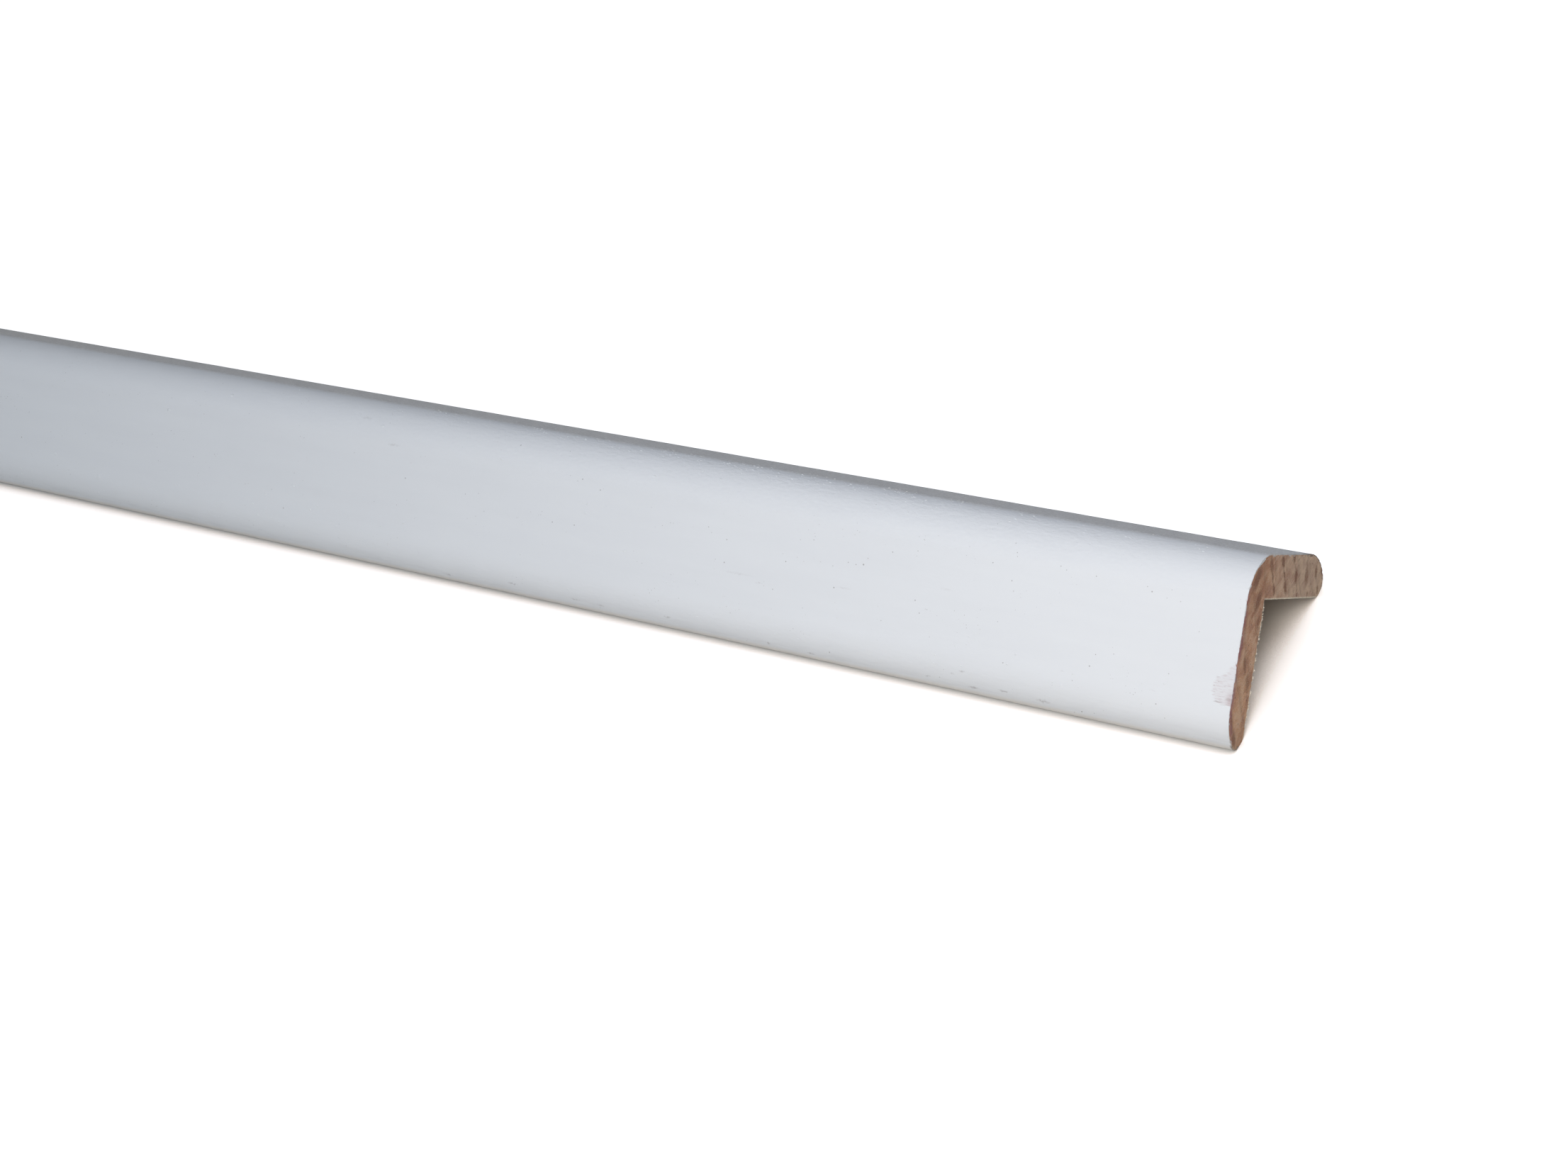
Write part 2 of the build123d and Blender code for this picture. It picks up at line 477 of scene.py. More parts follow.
def fibres(name, end, outward, material, seed):
    """Torn fibres along the inner edges of a sawn end: thin bent spikes, each a closed body."""
    rng = np.random.default_rng(seed)
    vertices, faces = [], []
    # On the front leg they stand in tufts
    tufts = rng.choice(rng.uniform(0.04, 0.96, TUFTS), FRONT_FIBRES)
    on_front = (tufts + rng.normal(0, 0.004, FRONT_FIBRES)) * INNER_LENGTH / 2
    on_back = rng.uniform(1.03, 1.95, BACK_FIBRES) * INNER_LENGTH / 2
    for distance in np.concatenate([on_front, on_back]):
        root, normal = at(INNER, np.array([distance]))
        root, normal = root[0] - normal[0] * 0.03 * MM, normal[0]
        length = rng.uniform(0.10, 0.32) * MM * rng.uniform(0.5, 1.2)
        length *= 1 if distance < INNER_LENGTH / 2 else BACK_FIBRE_SHARE
        width = rng.uniform(0.030, 0.065) * MM
        lean = np.array([rng.uniform(0.40, 0.75), *(normal + rng.normal(0, 0.25, 2))])
        lean /= np.linalg.norm(lean)
        bend = np.array([0.0, *rng.normal(0, 0.25, 2)])
        side = np.cross(lean, [1.0, 0, 0])
        side /= np.linalg.norm(side)
        other = np.cross(lean, side)
        start = np.array([-0.02 * MM, *root])
        spots = []
        for share, thick in ((0, 1.0), (0.55, 0.6)):
            centre = start + (lean * share + bend * share**2 * 0.5) * length
            for angle in (0.0, 2.1, 4.2):
                spoke = side * math.cos(angle) + other * math.sin(angle)
                spots.append(centre + spoke * width * thick)
        spots.append(start + (lean + bend * 0.5) * length)
        spots = np.array(spots)
        first = len(vertices)
        vertices += place(end + outward * spots[:, 0], spots[:, 1:]).tolist()
        # The foot, the point and the sides
        found = [(0, 2, 1), (3, 4, 6), (4, 5, 6), (5, 3, 6)]
        found += [(i, (i + 1) % 3, 3 + (i + 1) % 3, 3 + i) for i in range(3)]
        for face in found:
            faces.append([first + k for k in (face if outward > 0 else face[::-1])])
    return make_piece(name, np.array(vertices), faces, [material])


def grains(name, places, material):
    """Grains and runs in the paint: low domes, each (along, around the section, radius, height)."""
    vertices, faces = [], []
    sides = GRAIN_SIDES
    for along, around, radius, height in places:
        centre, normal = at(OUTER, np.array([around]))
        centre, normal = centre[0], normal[0]
        tangent = np.array([-normal[1], normal[0]])
        first = len(vertices)
        for reach, rise in ((1.0, -0.35), (0.92, 0.15), (0.6, 0.75), (0.0, 1.0)):
            for k in range(sides if reach else 1):
                angle = 2 * math.pi * k / sides
                sideways = tangent * radius * reach * math.cos(angle)
                section = centre + sideways + normal * height * rise
                x = CUT_END - along + GRAIN_STRETCH * radius * reach * math.sin(angle)
                vertices.append(place(x, section).tolist())
        rows = first + np.arange(3 * sides).reshape(3, sides)
        rows = np.concatenate([rows, rows[:, :1]], axis=1)
        faces += grid_faces(rows, flip=True)
        top = first + 3 * sides
        faces += [[top, int(rows[2, k]), int(rows[2, k + 1])] for k in range(sides)]
        faces.append([int(k) for k in rows[0, -2::-1]])
    return make_piece(name, np.array(vertices), faces, [material])


def front_distance(down):
    """Distance along the outer outline of a place on the front leg's outer face."""
    half = len(OUTER[0]) // 2
    return float(np.interp(down, OUTER[0][half:0:-1, 0], arc_length(OUTER)[half:0:-1]))


def grain_places():
    rng = np.random.default_rng(81)
    found = [(a * MM, front_distance(d * MM), r * MM, 0.22 * r * MM) for a, d, r in GRAINS]
    # Small ones over the back half of the rounded corner
    corner = OUTER_LENGTH / 2
    for _ in range(CORNER_GRAINS):
        along = rng.normal(75, 50) * MM
        around = corner + rng.normal(3.5, 1.6) * MM
        radius = rng.uniform(0.05, 0.15) * MM
        if 8 * MM < along < 255 * MM:
            found.append((along, around, radius, rng.uniform(0.2, 0.55) * radius))
    # Others over the low part of the front face
    for _ in range(LOW_GRAINS):
        along = rng.uniform(10, 255) * MM
        around = front_distance(rng.uniform(18.5, 27) * MM)
        radius = rng.uniform(0.06, 0.13) * MM
        found.append((along, around, radius, rng.uniform(0.25, 0.50) * radius))
    return found


# Materials

# Colours of the paint
PAINT_DARK = (0.785, 0.785, 0.785)
PAINT_LIGHT = (0.825, 0.825, 0.82)
# Greys of the back face: painted shade
BACK_FACE_SHADE_DARK = (0.655, 0.63, 0.60)
BACK_FACE_SHADE_LIGHT = (0.785, 0.765, 0.735)
SMUDGE_COLOUR = (0.32, 0.28, 0.26)
SPECK_COLOUR = (0.30, 0.27, 0.25)
# Painted shade on the film's edge past the tips
FILM_EDGE_SHADE = (0.16, 0.095, 0.065)
# Painted bounce light along the lowest edge
LOW_EDGE_BOUNCE_LIGHT = (0.78, 0.66, 0.50)
WORN_PAINT = (0.46, 0.30, 0.30)
SCORE_COLOUR = (0.24, 0.15, 0.13)

# Colours of the wood
CORNER_WOOD = (0.63, 0.345, 0.215)
BACK_LEG_WOOD = (0.63, 0.445, 0.320)
FRONT_LEG_WOOD = (0.76, 0.445, 0.260)
CLOUD_LIGHT = (0.86, 0.64, 0.45)
CLOUD_DARK = (0.46, 0.245, 0.175)
SAW_MARK_LIGHT = (0.84, 0.62, 0.48)
SAW_MARK_DARK = (0.34, 0.19, 0.13)
CORNER_TINT = (0.84, 0.74, 0.66)
BACK_LEG_TINT = (1.0, 1.0, 0.98)
FRONT_LEG_TINT = (0.97, 0.90, 0.84)
FRONT_TIP_TINT = (0.84, 0.79, 0.73)
SAWN_LATEWOOD = (0.175, 0.060, 0.027)
CELL_DARK = (0.24, 0.125, 0.080)
CELL_LIGHT = (0.92, 0.80, 0.66)
RESIN_COLOUR = (0.10, 0.060, 0.042)
FLECK_COLOUR = (0.85, 0.76, 0.62)
PURPLE_BAND = (0.31, 0.115, 0.17)
TORN_EDGE = (0.92, 0.83, 0.66)
PLANED_DARK = (0.58, 0.41, 0.255)
PLANED_LIGHT = (0.68, 0.50, 0.33)
PLANED_PORE = (0.42, 0.26, 0.15)
PLANED_LATEWOOD = (0.36, 0.185, 0.085)
PRIMED_WOOD = (0.34, 0.19, 0.175)
FIBRE_DARK = (0.74, 0.62, 0.47)
FIBRE_LIGHT = (0.96, 0.91, 0.82)

# A Mix node's numbers for its share and its two colours, and for the colour that it gives. Distances
# in the materials are in millimetres.
COLOUR_MIX_INPUTS = (0, 6, 7)
COLOUR_MIX_OUTPUT = 2


class Nodes:
    """Short ways to build a node tree."""

    def __init__(self, tree):
        self.tree = tree
        tree.nodes.clear()

    def add(self, kind, inputs=None, **settings):
        node = self.tree.nodes.new(kind)
        for key, value in settings.items():
            setattr(node, key, value)
        for key, value in (inputs or {}).items():
            self.put(node.inputs[key], value)
        return node

    def put(self, socket, value):
        if isinstance(value, bpy.types.NodeSocket):
            self.tree.links.new(value, socket)
        else:
            socket.default_value = value

    def math(self, operation, *values, clamp=False):
        node = self.add("ShaderNodeMath", operation=operation, use_clamp=clamp)
        for socket, value in zip(node.inputs, values):
            self.put(socket, value)
        return node.outputs[0]

    def vector(self, operation, *values):
        node = self.add("ShaderNodeVectorMath", operation=operation)
        for socket, value in zip(node.inputs, values):
            self.put(socket, value)
        return node.outputs["Value" if operation in ("LENGTH", "DOT_PRODUCT") else "Vector"]

    def step(self, value, low, high, to_low=0.0, to_high=1.0):
        """A smooth change from to_low to to_high as value goes from low to high."""
        ends = {"Value": value, "From Min": low, "From Max": high, "To Min": to_low, "To Max": to_high}
        node = self.add("ShaderNodeMapRange", ends, interpolation_type="SMOOTHSTEP")
        return node.outputs["Result"]

    def mix(self, share, first, second):
        node = self.add("ShaderNodeMix", data_type="RGBA")
        for number, value in zip(COLOUR_MIX_INPUTS, (share, first, second)):
            is_colour = not isinstance(value, (float, bpy.types.NodeSocket))
            self.put(node.inputs[number], (*value, 1) if is_colour else value)
        return node.outputs[COLOUR_MIX_OUTPUT]

    def tinted(self, colour, tint):
        node = self.add("ShaderNodeMix", data_type="RGBA", blend_type="MULTIPLY")
        for number, value in zip(COLOUR_MIX_INPUTS, (1.0, colour, tint)):
            self.put(node.inputs[number], value)
        return node.outputs[COLOUR_MIX_OUTPUT]

    def noise(self, places, size, detail=2.0, roughness=0.5):
        """Noise from 0 to 1 with features about size across, in the units of places."""
        inputs = {"Vector": places, "Scale": 1 / size, "Detail": detail, "Roughness": roughness}
        return self.add("ShaderNodeTexNoise", inputs).outputs[0]

    def curve(self, value, points):
        """A value read off a line through (at, height) points, with at and height from 0 to 1."""
        node = self.add("ShaderNodeFloatCurve", {"Value": value})
        line = node.mapping.curves[0]
        line.points[0].location, line.points[1].location = points[0], points[-1]
        for point in points[1:-1]:
            line.points.new(*point)
        node.mapping.update()
        return node.outputs[0]

    def join(self, x, y, z):
        return self.add("ShaderNodeCombineXYZ", {"X": x, "Y": y, "Z": z}).outputs[0]

    def wobble(self, places, size, reach):
        """Places pushed about by noise, so that marks on them get uneven outlines."""
        noise = self.add("ShaderNodeTexNoise", {"Vector": places, "Scale": 1 / size, "Detail": 2.0})
        push = self.vector("SUBTRACT", noise.outputs["Color"], (0.5, 0.5, 0.5))
        return self.vector("ADD", places, self.vector("MULTIPLY", push, (reach, reach, 0.0)))

    def marks(self, places, rows, softness=0.6):
        """The darkest of soft oval marks: rows of x, y, half sizes in x and y, turn, strength."""
        total = 0.0
        for x, y, half_x, half_y, turn, strength in rows:
            settings = {
                "Vector": places,
                "Location": (x, y, 0),
                "Rotation": (0, 0, math.radians(turn)),
                "Scale": (half_x, half_y, 1),
            }
            oval = self.add("ShaderNodeMapping", settings, vector_type="TEXTURE").outputs[0]
            mark = self.step(self.vector("LENGTH", oval), 1 - softness, 1.0, strength, 0.0)
            total = self.math("MAXIMUM", total, mark)
        return total

    def millimetres(self):
        """(along from the cut end, down, back) of the shaded point, in millimetres."""
        spot = self.add("ShaderNodeTexCoord").outputs["Object"]
        scale = 1 / MM
        half = scale / ROOT2
        corner = STANDING_HEIGHT * half
        along = self.math("ADD", self.vector("DOT_PRODUCT", spot, (-scale, 0, 0)), CUT_END * scale)
        down = self.math("ADD", self.vector("DOT_PRODUCT", spot, (0, -half, -half)), corner)
        back = self.math("ADD", self.vector("DOT_PRODUCT", spot, (0, half, -half)), corner)
        return along, down, back


def new_material(name):
    material = bpy.data.materials.new(name)
    material.use_nodes = True
    return material, Nodes(material.node_tree)


def finish_surface(nodes, colour, roughness, height, height_mm, specular):
    """Ends a material: height runs from 0 to 1 and stands for height_mm of relief."""
    bump = nodes.add("ShaderNodeBump", {"Strength": 1.0, "Distance": height_mm * MM, "Height": height})
    shader = nodes.add(
        "ShaderNodeBsdfPrincipled",
        {"Base Color": colour, "Roughness": roughness, "Normal": bump.outputs[0]},
    )
    shader.inputs["Specular IOR Level"].default_value = specular
    nodes.add("ShaderNodeOutputMaterial", {"Surface": shader.outputs[0]})


def worn_patch(n, along, down, back):
    """Share of the paint that is rubbed thin beside the cut end, and the scores in it."""
    # How far the patch reaches along, over a stretch of the front face
    top, bottom, longest = 14.0, 22.0, 4.0
    where = n.math("DIVIDE", n.math("SUBTRACT", down, top), bottom - top)
    outline = [
        (0, 0),
        (0.14, 0.05),
        (0.25, 0.22),
        (0.40, 0.40),
        (0.47, 0.66),
        (0.62, 0.78),
        (0.78, 0.76),
        (0.88, 0.64),
        (0.93, 0.40),
        (0.95, 0),
        (1, 0),
    ]
    reach = n.math("MULTIPLY", n.curve(where, outline), longest)
    stretched = n.join(n.math("MULTIPLY", along, 0.45), n.math("MULTIPLY", down, 2.2), 0.0)
    grain = n.noise(stretched, 0.5, 3.0, 0.6)
    reach = n.math("ADD", reach, n.math("MULTIPLY", n.math("SUBTRACT", grain, 0.5), 1.3))
    inside = n.step(n.math("SUBTRACT", reach, along), -0.1, 0.45)
    inside = n.math("MULTIPLY", inside, n.step(down, top, 15.2))
    inside = n.math("MULTIPLY", inside, n.step(down, 21.3, 21.7, 1.0, 0.0))
    front_face = n.step(back, 0.3, 0.8, 1.0, 0.0)
    inside = n.math("MULTIPLY", inside, front_face)
    share = n.math("ADD", 0.10, n.math("MULTIPLY", n.step(grain, 0.46, 0.70), 0.24))
    deep = n.math("MULTIPLY", n.step(along, 0.1, 1.3, 0.40, 0.0), n.step(down, 18.8, 20.8))
    share = n.math("MULTIPLY", n.math("ADD", share, deep), inside)
    # Scores: (along, down), half length, half height, turn, darkness
    scores = [
        (1.9, 21.2, 1.0, 0.08, 2, 0.55),
        (2.3, 21.1, 0.35, 0.06, 2, 0.45),
        (1.2, 21.5, 0.7, 0.06, 2, 0.25),
        (2.5, 17.7, 0.40, 0.07, 2, 0.30),
        (1.6, 17.75, 0.30, 0.06, 2, 0.20),
        (2.3, 18.4, 0.15, 0.08, 2, 0.50),
        (2.9, 19.0, 0.15, 0.08, 2, 0.40),
        (1.3, 18.9, 0.15, 0.07, 2, 0.35),
        (2.7, 19.9, 0.25, 0.06, 2, 0.25),
        (0.5, 20.6, 0.60, 0.30, 2, 0.30),
        (0.8, 16.3, 0.30, 0.06, 2, 0.20),
        (1.8, 20.4, 0.30, 0.06, 2, 0.25),
    ]
    scored = n.math("MULTIPLY", n.marks(n.join(along, down, 0.0), scores), front_face)
    return share, scored


def white_paint():
    material, n = new_material("white_paint")
    along, down, back = n.millimetres()
    spot = n.join(n.math("MULTIPLY", along, 0.6), down, back)
    long_spot = n.join(n.math("MULTIPLY", along, 0.12), down, back)
    # Hammered relief: fine dents, a broad peel, and the grain of the wood under it
    dents = n.noise(spot, 0.60, 2.0, 0.5)
    peel = n.noise(spot, 2.4, 1.0)
    grain = n.noise(long_spot, 0.5, 2.0, 0.6)
    from_corner = n.math("MAXIMUM", down, back)
    # The dents are deep on the rounded corner, and shallower by the cut end and far from it
    depth = n.step(from_corner, 10.0, 4.0, 0.35, 1.8)
    depth = n.math("MAXIMUM", depth, n.step(down, 22.0, 25.0, 0.0, 0.9))
    depth = n.math("MULTIPLY", depth, n.step(along, 90.0, 230.0, 1.0, 0.4))
    depth = n.math("MULTIPLY", depth, n.step(along, 4.0, 34.0, 0.55, 1.0))
    height = n.math("ADD", n.math("MULTIPLY", dents, depth), n.math("MULTIPLY", peel, 0.5))
    height = n.math("ADD", height, n.math("MULTIPLY", grain, 0.06))
    # Colour: hardly varied white, specks, smudges and the worn patch
    tone = n.noise(long_spot, 3.0, 3.0)
    colour = n.mix(tone, PAINT_DARK, PAINT_LIGHT)
    outer_face = n.step(back, 2.2, 3.0, 1.0, 0.0)
    flat = n.join(along, down, 0.0)
    uneven = n.wobble(flat, 0.5, 0.5)
    smudges = n.marks(uneven, [(x, y, a, b, 0, s) for x, y, a, b, s in SMUDGES], 0.9)
    smudges = n.math("MULTIPLY", smudges, n.step(n.noise(flat, 0.35, 3.0, 0.7), 0.36, 0.60))
    # Darker in patches towards the bottom edge of the front face
    low_edge_darkening = n.step(n.noise(long_spot, 0.9, 3.0, 0.7), 0.35, 0.75, 0.0, 0.11)
    low_edge_darkening = n.math("MULTIPLY", n.step(down, 25.0, 27.6), low_edge_darkening)
    smudges = n.math("MAXIMUM", smudges, low_edge_darkening)
    colour = n.mix(n.math("MULTIPLY", smudges, outer_face), colour, SMUDGE_COLOUR)
    ragged = n.wobble(flat, 0.12, 0.10)
    specks = n.marks(ragged, [(x, y, r, r, 0, 0.7) for x, y, r in SPECKS], 0.7)
    # Finer dust in patches: spacing, largest radius, darkness, size of the patches
    for pitch, largest, dark, patch in ((1.5, 0.11, 0.48, 7.0), (0.7, 0.08, 0.38, 5.0)):
        cells = n.add("ShaderNodeTexVoronoi", {"Vector": ragged, "Scale": 1 / pitch}).outputs
        patches = n.step(n.noise(flat, patch, 2.0), 0.48, 0.66)
        size = n.math("MULTIPLY", patches, n.noise(flat, 1.1, 1.0))
        radius = n.math("MULTIPLY", size, largest / pitch * 2.2)
        share = n.math("DIVIDE", cells["Distance"], n.math("ADD", radius, 0.001))
        specks = n.math("MAXIMUM", specks, n.step(share, 0.6, 1.0, dark, 0.0))
    colour = n.mix(n.math("MULTIPLY", specks, outer_face), colour, SPECK_COLOUR)
    # The back face is painted greyer and a little duller as painted shade, over a fine speckle of its own
    shaded_back_face = n.step(n.math("SUBTRACT", back, down), 4.0, 6.5)
    speckle = n.noise(n.join(along, down, n.math("MULTIPLY", back, 0.4)), 0.35, 2.0, 0.7)
    back_shade_grey = n.mix(n.step(speckle, 0.40, 0.66), BACK_FACE_SHADE_DARK, BACK_FACE_SHADE_LIGHT)
    colour = n.mix(shaded_back_face, colour, back_shade_grey)
    # The film is painted dark at its very edge past the tips: painted shade
    past_tip = n.math("MAXIMUM", n.step(back, 18.0, 22.0), n.step(down, 27.0, 27.5))
    rim = n.math("MULTIPLY", n.step(along, 0.10, 0.32, 0.85, 0.0), past_tip)
    colour = n.mix(rim, colour, FILM_EDGE_SHADE)
    # A warm line along the lowest edge is painted bounce light from the floor
    painted_bounce_light = n.math("MULTIPLY", n.step(down, 27.0, 27.9, 0.0, 0.45), n.step(back, 7.5, 3.5))
    colour = n.mix(painted_bounce_light, colour, LOW_EDGE_BOUNCE_LIGHT)
    worn, scored = worn_patch(n, along, down, back)
    colour = n.mix(worn, colour, WORN_PAINT)
    colour = n.mix(n.math("MULTIPLY", scored, 0.75), colour, SCORE_COLOUR)
    finish_surface(n, colour, n.step(peel, 0.3, 0.7, 0.52, 0.62), height, 0.055, specular=0.04)
    return material


def ring_darkness(n, down, back, places):
    """Latewood share, from 0 to 1, of a point in the wood."""
    wobble = n.math("MULTIPLY", n.math("SUBTRACT", n.noise(places, 6.0, 2.0), 0.5), 1.3)
    across = n.join(n.math("SUBTRACT", down, PITH[0]), n.math("SUBTRACT", back, PITH[1]), 0.0)
    radius = n.math("ADD", n.vector("LENGTH", across), wobble)
    phase = n.math("FRACT", n.math("DIVIDE", n.math("SUBTRACT", radius, RING_RADIUS), RING_SPACING))
    return n.math("MULTIPLY", n.step(phase, 0.62, 0.97), n.step(phase, 0.97, 1.0, 1.0, 0.0))


def sawn_pine():
    material, n = new_material("sawn_pine")
    _, down, back = n.millimetres()
    flat = n.join(down, back, 0.0)
    # Early wood: pinkish by the corner, yellower down the front leg, greyer along the back leg
    base = n.mix(n.step(back, 5.0, 20.0), CORNER_WOOD, BACK_LEG_WOOD)
    base = n.mix(n.step(down, 9.0, 24.0, 0.0, 0.8), base, FRONT_LEG_WOOD)
    clouds = n.noise(flat, 2.2, 3.0, 0.6)
    base = n.mix(n.step(clouds, 0.42, 0.66, 0.0, 0.65), base, CLOUD_LIGHT)
    base = n.mix(n.step(clouds, 0.52, 0.32, 0.0, 0.60), base, CLOUD_DARK)
    # Marks of the saw lean across the section
    lean = n.math("ADD", n.math("MULTIPLY", down, 0.8), n.math("MULTIPLY", back, 0.6))
    run = n.math("SUBTRACT", n.math("MULTIPLY", back, 0.8), n.math("MULTIPLY", down, 0.6))
    saw = n.noise(n.join(lean, n.math("MULTIPLY", run, 0.10), 0.0), 0.45, 3.0, 0.6)
    base = n.mix(n.step(saw, 0.50, 0.70, 0.0, 0.50), base, SAW_MARK_LIGHT)
    base = n.mix(n.step(saw, 0.48, 0.30, 0.0, 0.42), base, SAW_MARK_DARK)
    # Redder and darker in the corner and towards the front tip
    tint = n.mix(n.step(back, 5.5, 10.0), CORNER_TINT, BACK_LEG_TINT)
    tint = n.mix(n.step(down, 8.0, 12.0), tint, FRONT_LEG_TINT)
    tint = n.mix(n.step(down, 22.5, 26.0), tint, FRONT_TIP_TINT)
    base = n.tinted(base, tint)
    # Latewood in soft streaks, over faint rings
    uneven = n.wobble(flat, 0.8, 0.55)
    streaks = n.marks(uneven, LATEWOOD, 0.72)
    rings = n.math("MULTIPLY", ring_darkness(n, down, back, flat), 0.30)
    dark = n.math("MAXIMUM", streaks, rings)
    mottle = n.noise(flat, 0.30, 2.0, 0.6)
    dark = n.math("MULTIPLY", dark, n.step(mottle, 0.25, 0.60, 0.78, 1.0))
    colour = n.mix(n.math("MULTIPLY", dark, 0.95), base, SAWN_LATEWOOD)
    # Open cells, resin and pale flecks
    cells = n.noise(flat, 0.13, 2.0, 0.7)
    colour = n.mix(n.step(cells, 0.50, 0.32, 0.0, 0.55), colour, CELL_DARK)
    colour = n.mix(n.step(cells, 0.53, 0.68, 0.0, 0.60), colour, CELL_LIGHT)
    dots = n.marks(flat, [(d, b, r * 1.3, r * 0.9, 10, 0.85) for d, b, r in RESIN_DOTS], 0.7)
    colour = n.mix(dots, colour, RESIN_COLOUR)
    flecks = n.marks(flat, [(d, b, r, r, 0, 0.65) for d, b, r in PALE_FLECKS], 0.8)
    colour = n.mix(flecks, colour, FLECK_COLOUR)
    # Darker and purplish next to the paint on the front leg, and pale where the inner edges are torn
    past_long_round = n.math("MAXIMUM", n.math("SUBTRACT", down, 21.9), 0.0)
    from_paint = n.math("SUBTRACT", back, n.math("MULTIPLY", past_long_round, 0.33))
    patches = n.step(n.noise(flat, 2.4, 2.0), 0.36, 0.62, 0.30, 1.0)
    purple_band = n.math("MULTIPLY", n.step(from_paint, 0.15, 1.5, 1.0, 0.0), patches)
    colour = n.mix(n.math("MULTIPLY", purple_band, 0.80), colour, PURPLE_BAND)
    edge = n.step(n.math("MINIMUM", down, back), 6.20, 6.42)
    edge = n.math("MULTIPLY", edge, n.step(n.noise(flat, 0.4, 1.0), 0.32, 0.55, 0.45, 0.95))
    colour = n.mix(edge, colour, TORN_EDGE)
    height = n.math("ADD", n.math("MULTIPLY", cells, 0.5), n.math("MULTIPLY", saw, 0.6))
    height = n.math("ADD", height, n.math("MULTIPLY", dark, 0.25))
    finish_surface(n, colour, n.step(cells, 0.3, 0.7, 0.72, 0.86), height, 0.045, specular=0.25)
    return material


def planed_pine():
    material, n = new_material("planed_pine")
    along, down, back = n.millimetres()
    long_spot = n.join(n.math("MULTIPLY", along, 0.02), down, back)
    late = ring_darkness(n, down, back, long_spot)
    base = n.mix(n.noise(long_spot, 1.5, 3.0), PLANED_DARK, PLANED_LIGHT)
    pores = n.noise(n.join(n.math("MULTIPLY", along, 0.06), down, back), 0.18, 2.0)
    base = n.mix(n.step(pores, 0.48, 0.32, 0.0, 0.35), base, PLANED_PORE)
    colour = n.mix(n.math("MULTIPLY", late, 0.6), base, PLANED_LATEWOOD)
    # Stained by the paint where a chip bares the outer faces
    outer_face = n.step(n.math("MINIMUM", down, back), 0.6, 0.3)
    colour = n.mix(outer_face, colour, PRIMED_WOOD)
    finish_surface(n, colour, n.step(pores, 0.3, 0.7, 0.58, 0.70), pores, 0.03, specular=0.3)
    return material


def torn_fibres():
    material, n = new_material("torn_fibres")
    along, down, back = n.millimetres()
    tone = n.noise(n.join(n.math("MULTIPLY", along, 0.3), down, back), 0.25, 2.0)
    colour = n.mix(n.step(tone, 0.35, 0.6), FIBRE_DARK, FIBRE_LIGHT)
    finish_surface(n, colour, n.step(tone, 0.3, 0.7, 0.55, 0.75), tone, 0.01, specular=0.3)
    return material


# Stage


def floor_material():
    """White to the camera, with the object's shadow, and a plain pale floor to the light."""
    material, n = new_material("pale_floor")
    path = n.add("ShaderNodeLightPath").outputs
    seen = n.math("MAXIMUM", path["Is Camera Ray"], path["Is Glossy Ray"])
    seen = n.math("MAXIMUM", seen, path["Is Transmission Ray"])
    # The glow dims where the object occludes the floor: a painted shadow
    shade = n.add("ShaderNodeAmbientOcclusion", {"Distance": 20 * MM}, samples=8).outputs["AO"]
    glow = n.step(shade, 0.24, 0.74, 0.0, 0.86)
    # Away from the object, where the lamps reach less, the floor glows more
    spot = n.add("ShaderNodeTexCoord").outputs["Object"]
    x, y, _ = n.add("ShaderNodeSeparateXYZ", {"Vector": spot}).outputs
    past_end = n.math("MAXIMUM", n.math("SUBTRACT", n.math("ABSOLUTE", x), CUT_END), 0.0)
    away = n.vector("LENGTH", n.join(past_end, y, 0.0))
    glow = n.math("ADD", glow, n.step(away, 0.12, 0.50, 0.0, 0.14))
    # The painted shadow is tinted warm brown, as painted bounce light from the wood
    tint = n.mix(n.step(shade, 0.30, 0.80), (1.0, 0.78, 0.62), (1.0, 1.0, 1.0))
    diffuse = n.add("ShaderNodeBsdfDiffuse", {"Color": (0.6, 0.6, 0.6, 1)})
    emission = n.add("ShaderNodeEmission", {"Color": tint, "Strength": n.math("MULTIPLY", glow, seen)})
    both = n.add("ShaderNodeAddShader")
    n.put(both.inputs[0], diffuse.outputs[0])
    n.put(both.inputs[1], emission.outputs[0])
    n.add("ShaderNodeOutputMaterial", {"Surface": both.outputs[0]})
    return material


def make_floor():
    reach = 20.0
    corners = [(-reach, -reach, 0), (reach, -reach, 0), (reach, reach, 0), (-reach, reach, 0)]
    mesh = bpy.data.meshes.new("floor")
    mesh.from_pydata(corners, [], [(0, 1, 2, 3)])
    mesh.materials.append(floor_material())
    floor = bpy.data.objects.new("floor", mesh)
    bpy.context.scene.collection.objects.link(floor)


def make_world():
    world = bpy.data.worlds.new("studio")
    bpy.context.scene.world = world
    world.use_nodes = True
    n = Nodes(world.node_tree)
    path = n.add("ShaderNodeLightPath").outputs
    seen = n.math("MAXIMUM", path["Is Camera Ray"], path["Is Glossy Ray"])
    seen = n.math("MAXIMUM", seen, path["Is Transmission Ray"])
    sky = n.mix(seen, (0.80, 0.89, 1.0), (1.0, 1.0, 1.0))
    strength = n.math("ADD", 0.06, n.math("MULTIPLY", seen, 0.94))
    background = n.add("ShaderNodeBackground", {"Color": sky, "Strength": strength})
    n.add("ShaderNodeOutputWorld", {"Surface": background.outputs[0]})


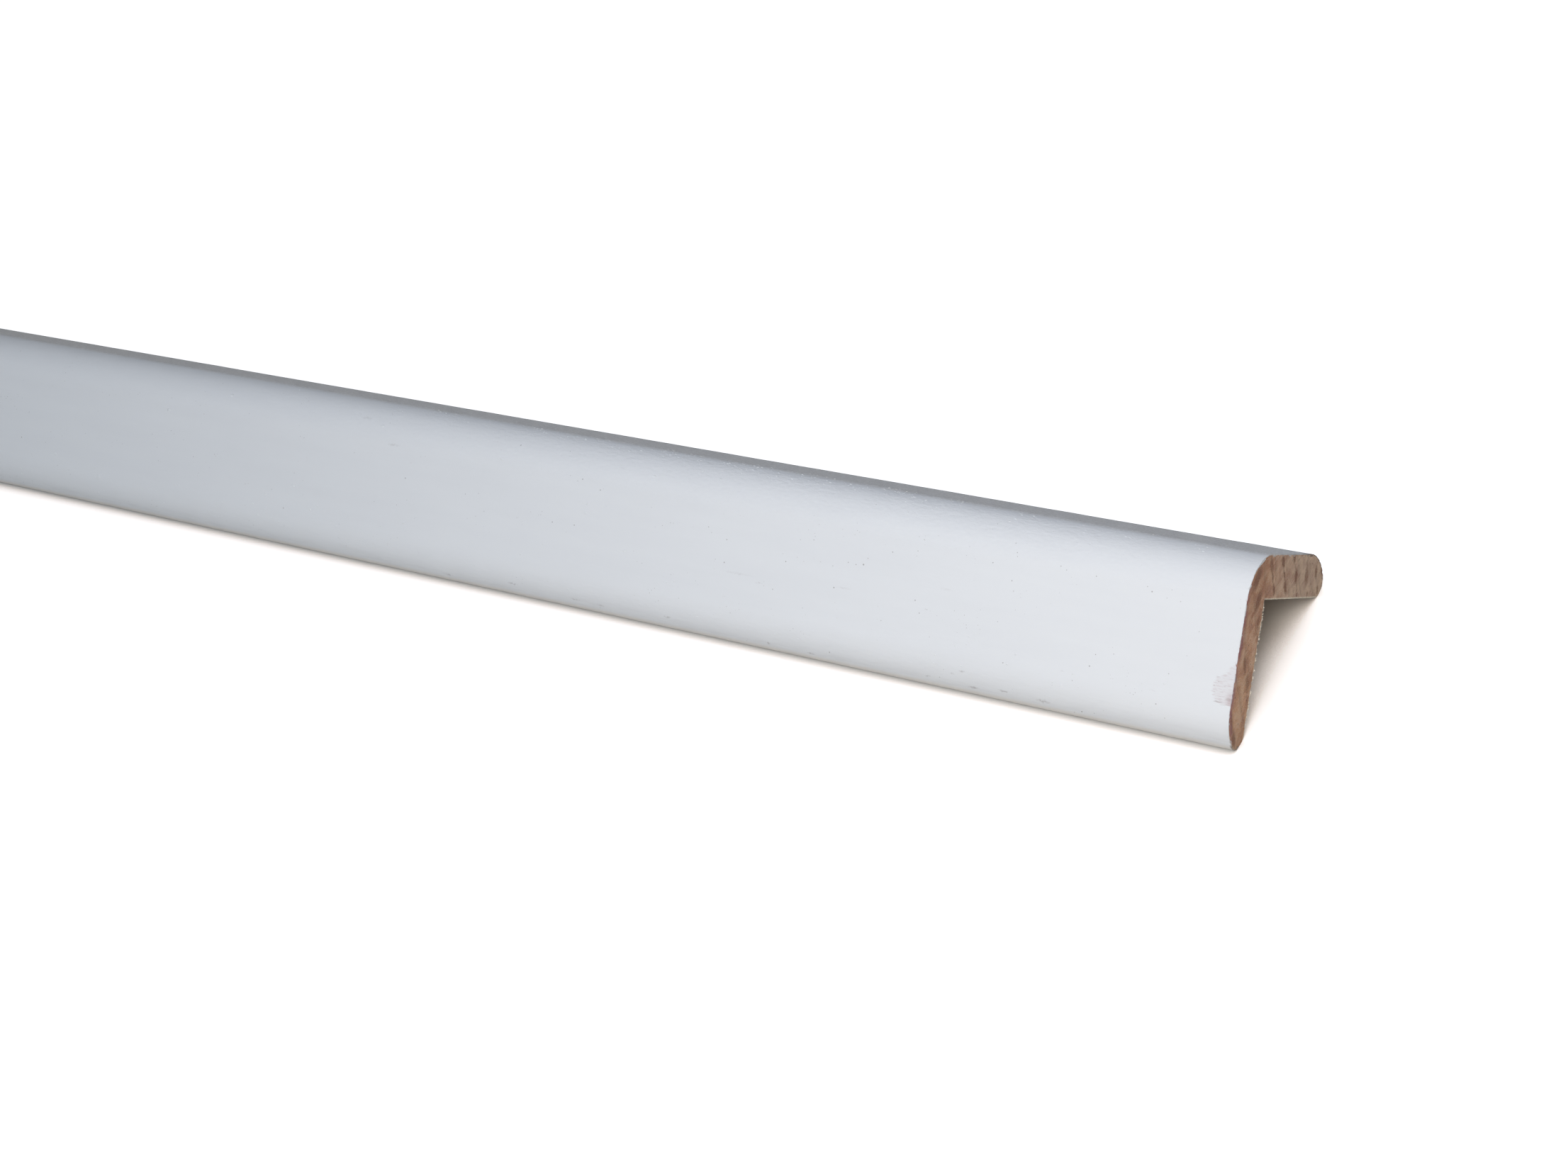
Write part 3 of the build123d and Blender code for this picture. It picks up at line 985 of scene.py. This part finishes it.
def make_lamp(name, position, target, size, watts, colour):
    data = bpy.data.lights.new(name, "AREA")
    data.shape = "RECTANGLE"
    data.size, data.size_y = size
    data.energy = watts
    data.color = colour
    lamp = bpy.data.objects.new(name, data)
    lamp.location = position
    lamp.rotation_euler = (Vector(target) - Vector(position)).to_track_quat("-Z", "Y").to_euler()
    lamp.visible_camera = False
    bpy.context.scene.collection.objects.link(lamp)


def over(lean_degrees, distance, along=0.0):
    """A place at a distance from the origin, leant from straight above towards the front."""
    lean = math.radians(lean_degrees)
    return Vector((along, -math.sin(lean), math.cos(lean))).normalized() * distance


def make_lamps():
    near = Vector((CUT_END - 30 * MM, 0, 10 * MM))
    make_lamp("key", near + over(38, 0.40, 0.35), near, (0.16, 0.16), 0.90, (1.0, 0.93, 0.83))
    make_lamp("top", near + over(12, 0.38, 0.15), near, (0.16, 0.16), 0.44, (0.60, 0.73, 1.0))
    make_lamp("length", over(40, 0.85), (0, 0, 0), (2.8, 0.3), 4.2, (0.73, 0.86, 1.0))
    rest = Vector((-0.65, 0, 0))
    make_lamp("rest", rest + over(30, 0.80), rest, (1.2, 0.4), 3.5, (0.95, 0.98, 1.0))
    make_lamp("behind", rest + over(-50, 0.90), rest, (1.2, 0.4), 4.5, (0.95, 0.98, 1.0))


def make_camera():
    """Looks down on the cut end from the front right, rolled as the photograph is.

    The place, the angles and the lens come from a fit to the outline in the photograph.
    """
    aim = Vector((CUT_END - 68.1 * MM, -19.5 * MM, 20.0 * MM))
    distance = 390.8 * MM
    azimuth, elevation, roll = (math.radians(v) for v in (44.95, 41.94, -22.29))
    backward = Vector(
        (
            math.sin(azimuth) * math.cos(elevation),
            -math.cos(azimuth) * math.cos(elevation),
            math.sin(elevation),
        )
    )
    level = Vector((0, 0, 1)).cross(backward).normalized()
    upright = backward.cross(level)
    right = level * math.cos(roll) + upright * math.sin(roll)
    up = backward.cross(right)
    data = bpy.data.cameras.new("camera")
    data.sensor_width = 36.0
    data.sensor_fit = "HORIZONTAL"
    data.lens = 60.23
    data.clip_start, data.clip_end = 0.01, 100
    camera = bpy.data.objects.new("camera", data)
    axes = Matrix((right, up, backward)).transposed().to_4x4()
    camera.matrix_world = Matrix.Translation(aim + backward * distance) @ axes
    bpy.context.scene.collection.objects.link(camera)
    bpy.context.scene.camera = camera


def finish_piece(piece):
    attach(piece, "root")


make_camera()
make_world()
make_lamps()
make_floor()

paint = white_paint()
pine = [planed_pine(), sawn_pine()]
fibre = torn_fibres()

body = wood_length("moulding_wood", END_PIECE, LENGTH - END_PIECE, pine)
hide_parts("moulding")
finish_piece(body)
finish_piece(wood_length("cut_end", 0, END_PIECE, pine, sawn=1))
finish_piece(wood_length("plain_end", LENGTH - END_PIECE, LENGTH, pine, sawn=-1))
finish_piece(fibres("cut_end_fibres", CUT_END, 1, fibre, 91))
finish_piece(fibres("plain_end_fibres", PLAIN_END, -1, fibre, 92))
finish_piece(paint_coat("paint_near_cut_end", 0, NEAR_COAT, paint))
finish_piece(paint_coat("paint_coat", NEAR_COAT, LENGTH, paint))
finish_piece(grains("paint_grains", grain_places(), paint))

bpy.context.scene.view_settings.view_transform = "Standard"
